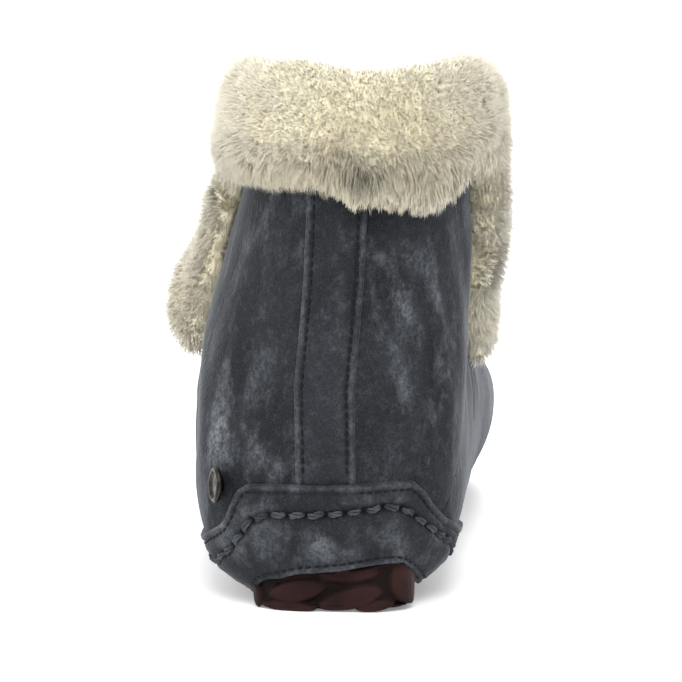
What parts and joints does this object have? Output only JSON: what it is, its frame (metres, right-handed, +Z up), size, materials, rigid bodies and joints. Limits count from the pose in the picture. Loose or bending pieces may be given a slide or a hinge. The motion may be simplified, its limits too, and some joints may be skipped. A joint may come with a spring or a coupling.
{
  "type": "sheepskin boot",
  "caption": "Left sheepskin ankle boot: suede moccasin upper, wool cuff turned out round the collar and down both sides of the throat, thin lugged rubber sole.",
  "frame": {"origin": "middle of the boot's box, on the floor that the sole stands on", "axes": "+Z up, +Y towards the heel, the toe points to -Y, +X towards the outer side of the left foot"},
  "size_m": [0.111, 0.2646, 0.1684],
  "materials": {
    "rubber": "matt moulded rubber",
    "footbed_wool": "short sheared wool",
    "suede": "slate suede, mottled nap",
    "panel_suede": "slate suede, mottled nap",
    "wool": "deep cream wool",
    "stud_metal": "dark antique metal"
  },
  "bodies": {
    "root": {"outsole": "rubber", "insole": "footbed_wool", "upper": "suede", "heel_panel": "panel_suede", "back_strip": "panel_suede", "fur_cuff": "wool", "side_stud": "stud_metal"}
  },
  "joints": []
}
